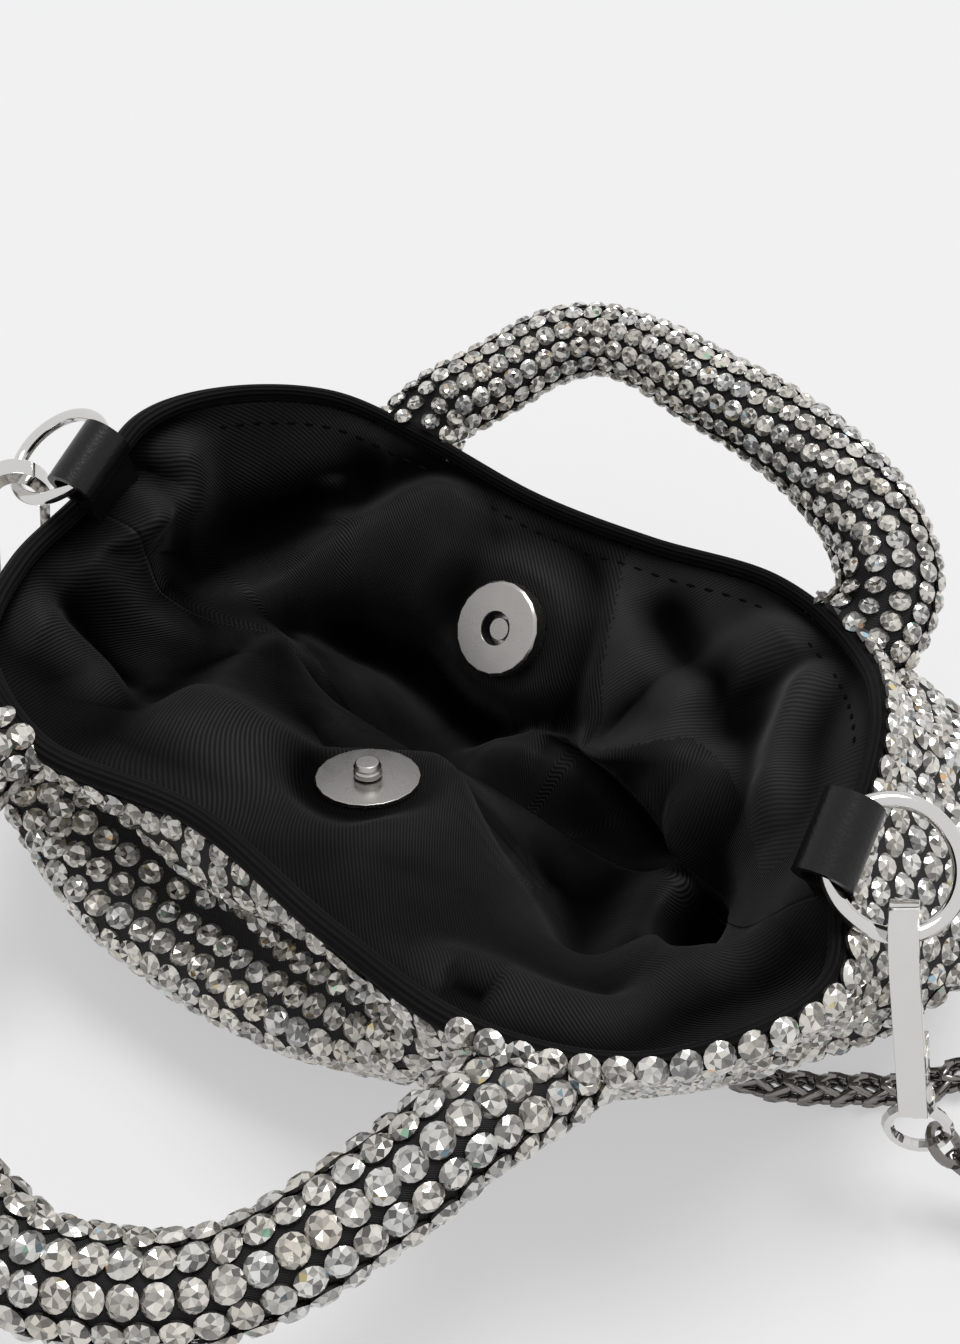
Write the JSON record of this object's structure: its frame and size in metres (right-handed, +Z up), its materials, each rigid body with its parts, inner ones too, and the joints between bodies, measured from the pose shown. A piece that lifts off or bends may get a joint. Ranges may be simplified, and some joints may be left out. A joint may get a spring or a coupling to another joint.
{
  "type": "evening bag",
  "caption": "Small slouchy evening bag of crystal mesh, open at the top, with splayed tube handles, a black lining with a magnetic snap, and a chain strap on swivel snap hooks.",
  "frame": {"origin": "middle of the footprint of the bag without its chain strap, on the surface it stands on", "axes": "+X to the bag's right tab, +Y from the front face to the back face, +Z up"},
  "size_m": [0.3, 0.2193, 0.0739],
  "materials": {
    "crystal_mesh": "round faceted foil-backed crystals in rows on black mesh",
    "lining": "black satin twill",
    "leather": "black cross-grain leather",
    "nickel": "polished nickel plate",
    "satin_nickel": "satin nickel plate",
    "gunmetal": "dark polished gunmetal plate",
    "magnet": "dull black",
    "filler": "white cotton cord"
  },
  "bodies": {
    "bag": {"back_mesh_panel": "crystal_mesh", "front_mesh_panel": "crystal_mesh", "back_lining_panel": "lining", "front_lining_panel": "lining", "rolled_hem": "lining", "left_leather_tab": "leather", "right_leather_tab": "leather", "snap_socket_plate": "satin_nickel", "snap_magnet": "magnet", "snap_core": "satin_nickel", "snap_socket_cap": "satin_nickel", "snap_socket_washer": "satin_nickel", "snap_stud_plate": "satin_nickel", "snap_stud": "satin_nickel", "snap_stud_washer": "satin_nickel", "chain_right_stretch": "gunmetal", "chain_coil": "gunmetal", "chain_long_stretch": "gunmetal"},
    "back_handle": {"back_handle_cover": "crystal_mesh", "back_handle_cord": "filler"},
    "front_handle": {"front_handle_cover": "crystal_mesh", "front_handle_cord": "filler"},
    "left_ring": {"left_ring": "nickel"},
    "left_hook": {"left_hook_frame": "nickel", "left_gate_pin": "nickel"},
    "left_gate": {"left_hook_gate": "nickel", "left_gate_spring": "satin_nickel"},
    "left_swivel": {"left_swivel_eye": "nickel", "left_end_link": "gunmetal"},
    "right_ring": {"right_ring": "nickel"},
    "right_hook": {"right_hook_frame": "nickel", "right_gate_pin": "nickel"},
    "right_gate": {"right_hook_gate": "nickel", "right_gate_spring": "satin_nickel"},
    "right_swivel": {"right_swivel_eye": "nickel", "right_end_link": "gunmetal"}
  },
  "joints": [
    {"name": "back_handle_swing", "type": "hinge", "parent": "bag", "child": "back_handle", "pos_m": [-0.0028, 0.06259, 0.04911], "axis": [0.9994, -0.0338, 0.0065], "range_deg": [-10, 75]},
    {"name": "front_handle_swing", "type": "hinge", "parent": "bag", "child": "front_handle", "pos_m": [-0.00296, -0.04086, 0.05062], "axis": [-0.9999, 0.0105, 0.0022], "range_deg": [-8, 95]},
    {"name": "left_ring_swing", "type": "hinge", "parent": "bag", "child": "left_ring", "pos_m": [-0.0795, 0.00388, 0.06655], "axis": [-0.097, 0.9272, 0.3618], "range_deg": [0, 70]},
    {"name": "left_hook_swing", "type": "hinge", "parent": "left_ring", "child": "left_hook", "pos_m": [-0.09275, -0.00362, 0.05986], "axis": [0.842, -0.5394, 0], "range_deg": [-40, 5]},
    {"name": "left_gate_open", "type": "hinge", "parent": "left_hook", "child": "left_gate", "pos_m": [-0.09353, -0.00305, 0.03011], "axis": [0.7352, -0.6771, -0.0322], "range_deg": [0, 12], "stiffness_Nm_per_rad": 0.05, "springref_deg": -11.46},
    {"name": "left_swivel_turn", "type": "hinge", "parent": "left_hook", "child": "left_swivel", "pos_m": [-0.09852, -0.00793, 0.01884], "axis": [0.1384, 0.1035, 0.985], "continuous": true},
    {"name": "right_ring_swing", "type": "hinge", "parent": "bag", "child": "right_ring", "pos_m": [0.07158, 0.00435, 0.06688], "axis": [0.1171, -0.8911, -0.4385], "range_deg": [0, 70]},
    {"name": "right_hook_swing", "type": "hinge", "parent": "right_ring", "child": "right_hook", "pos_m": [0.08546, 0.00017, 0.05955], "axis": [-0.744, -0.6682, 0], "range_deg": [-5, 30]},
    {"name": "right_gate_open", "type": "hinge", "parent": "right_hook", "child": "right_gate", "pos_m": [0.09191, 0.00336, 0.03067], "axis": [0.8938, 0.3781, 0.2411], "range_deg": [0, 12], "stiffness_Nm_per_rad": 0.05, "springref_deg": -11.46},
    {"name": "right_swivel_turn", "type": "hinge", "parent": "right_hook", "child": "right_swivel", "pos_m": [0.09707, -0.0018, 0.0196], "axis": [-0.2787, 0.0472, 0.9592], "continuous": true}
  ]
}
